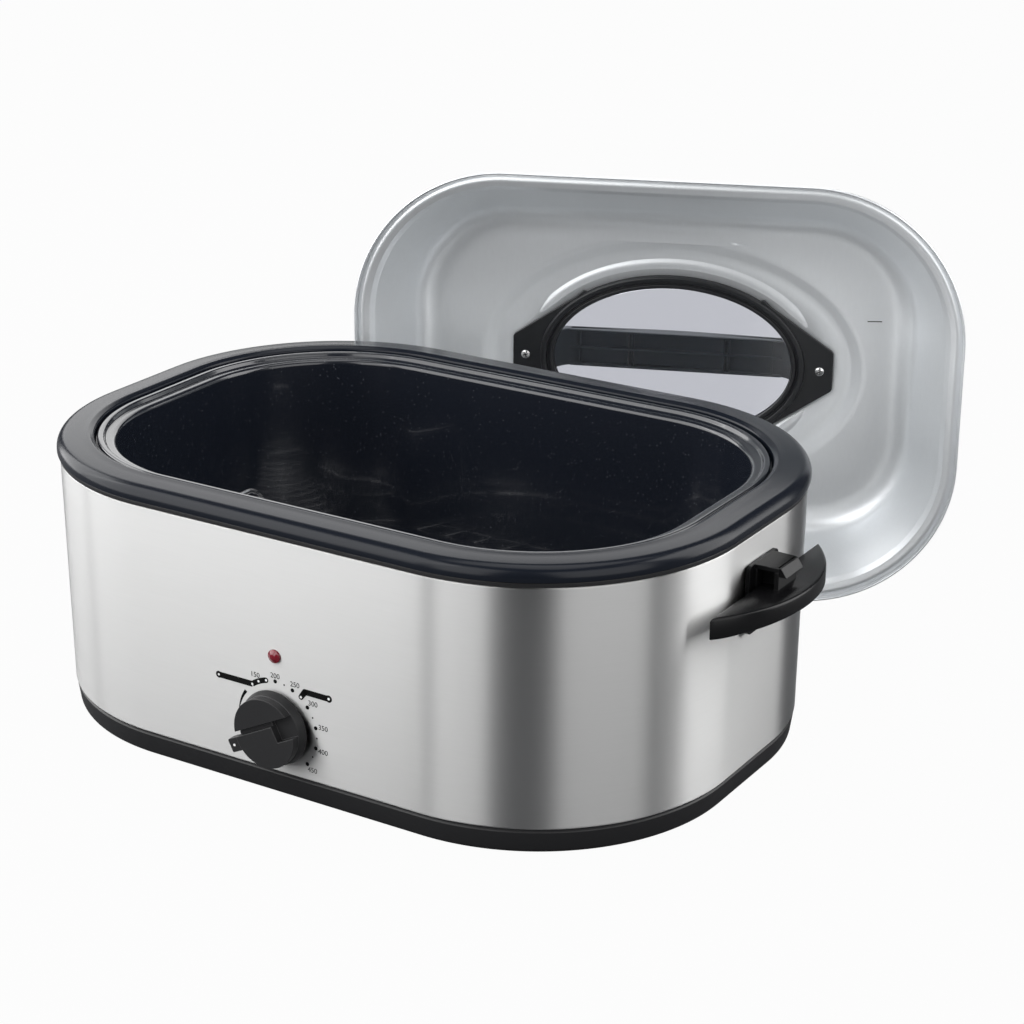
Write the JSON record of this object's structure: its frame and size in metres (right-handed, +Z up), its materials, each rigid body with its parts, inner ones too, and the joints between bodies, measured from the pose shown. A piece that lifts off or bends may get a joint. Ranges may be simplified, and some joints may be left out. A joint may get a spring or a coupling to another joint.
{
  "type": "electric roaster oven",
  "caption": "Oval countertop roaster oven with brushed steel wall, black enamel well, lift-out pan and rack, front dial, end handles and a deep lift-off lid with an oval window.",
  "frame": {"origin": "under the middle of the oven, on the plane of its feet", "axes": "+X to the oven's right seen from the dial, +Y to its rear, +Z up"},
  "size_m": [0.57, 0.5814, 0.3238],
  "materials": {
    "brushed_steel": "vertical satin brush",
    "base_plastic": "fine grain",
    "zinc_sheet": "plain sheet",
    "screw_steel": "bright",
    "rim_bead": "satin",
    "enamel": "gloss black enamel",
    "pan_enamel": "gloss black enamel with fine speckle",
    "rack_chrome": "plated wire",
    "element_sheath": "matt sheath",
    "mineral_wool": "fibrous",
    "reflector": "bright sheet",
    "thermostat_case": "ceramic-like",
    "knob_plastic": "satin",
    "lamp_red": "translucent red",
    "handle_plastic": "gloss black",
    "lid_metal": "satin silver",
    "window_glass": "clear tempered glass",
    "gasket": "matt",
    "frame_plastic": "satin black",
    "foot_rubber": "matt"
  },
  "bodies": {
    "oven": {"outer_shell": "brushed_steel", "base_ring": "base_plastic", "bottom_plate": "zinc_sheet", "base_screws": "screw_steel", "rim_trim": "rim_bead", "well_liner": "enamel", "heating_elements": "element_sheath", "insulation_blanket": "mineral_wool", "heat_reflector": "reflector", "thermostat_bracket": "zinc_sheet", "thermostat_body": "thermostat_case", "pilot_lamp_lens": "lamp_red", "pilot_lamp_holder": "thermostat_case", "cord_gland": "base_plastic", "terminal_block": "thermostat_case", "handle_right": "handle_plastic", "handle_left": "handle_plastic", "handle_plate_right": "zinc_sheet", "handle_plate_left": "zinc_sheet", "handle_screws": "screw_steel", "rubber_foot_1": "foot_rubber", "rubber_foot_2": "foot_rubber", "rubber_foot_3": "foot_rubber", "rubber_foot_4": "foot_rubber"},
    "knob": {"control_knob": "knob_plastic", "thermostat_shaft": "screw_steel"},
    "pan": {"roasting_pan": "pan_enamel"},
    "rack": {"roasting_rack": "rack_chrome", "rack_loop_left": "rack_chrome", "rack_loop_right": "rack_chrome"},
    "lid": {"lid_shell": "lid_metal", "window_glass": "window_glass", "window_gasket": "gasket", "window_frame": "frame_plastic", "lid_handle": "frame_plastic", "lid_screws": "screw_steel"}
  },
  "joints": [
    {"name": "knob_turn", "type": "hinge", "parent": "oven", "child": "knob", "pos_m": [0, -0.178, 0.052], "axis": [0, 1, 0], "range_deg": [0, 247.6]},
    {"name": "pan_lift", "type": "slide", "parent": "oven", "child": "pan", "axis": [0, 0, 1], "range_m": [0, 0.2]},
    {"name": "rack_lift", "type": "slide", "parent": "pan", "child": "rack", "axis": [0, 0, 1], "range_m": [0, 0.16]},
    {"name": "lid_lift", "type": "slide", "parent": "oven", "child": "lid", "axis": [0, 0, 1], "range_m": [0, 0.3]}
  ]
}
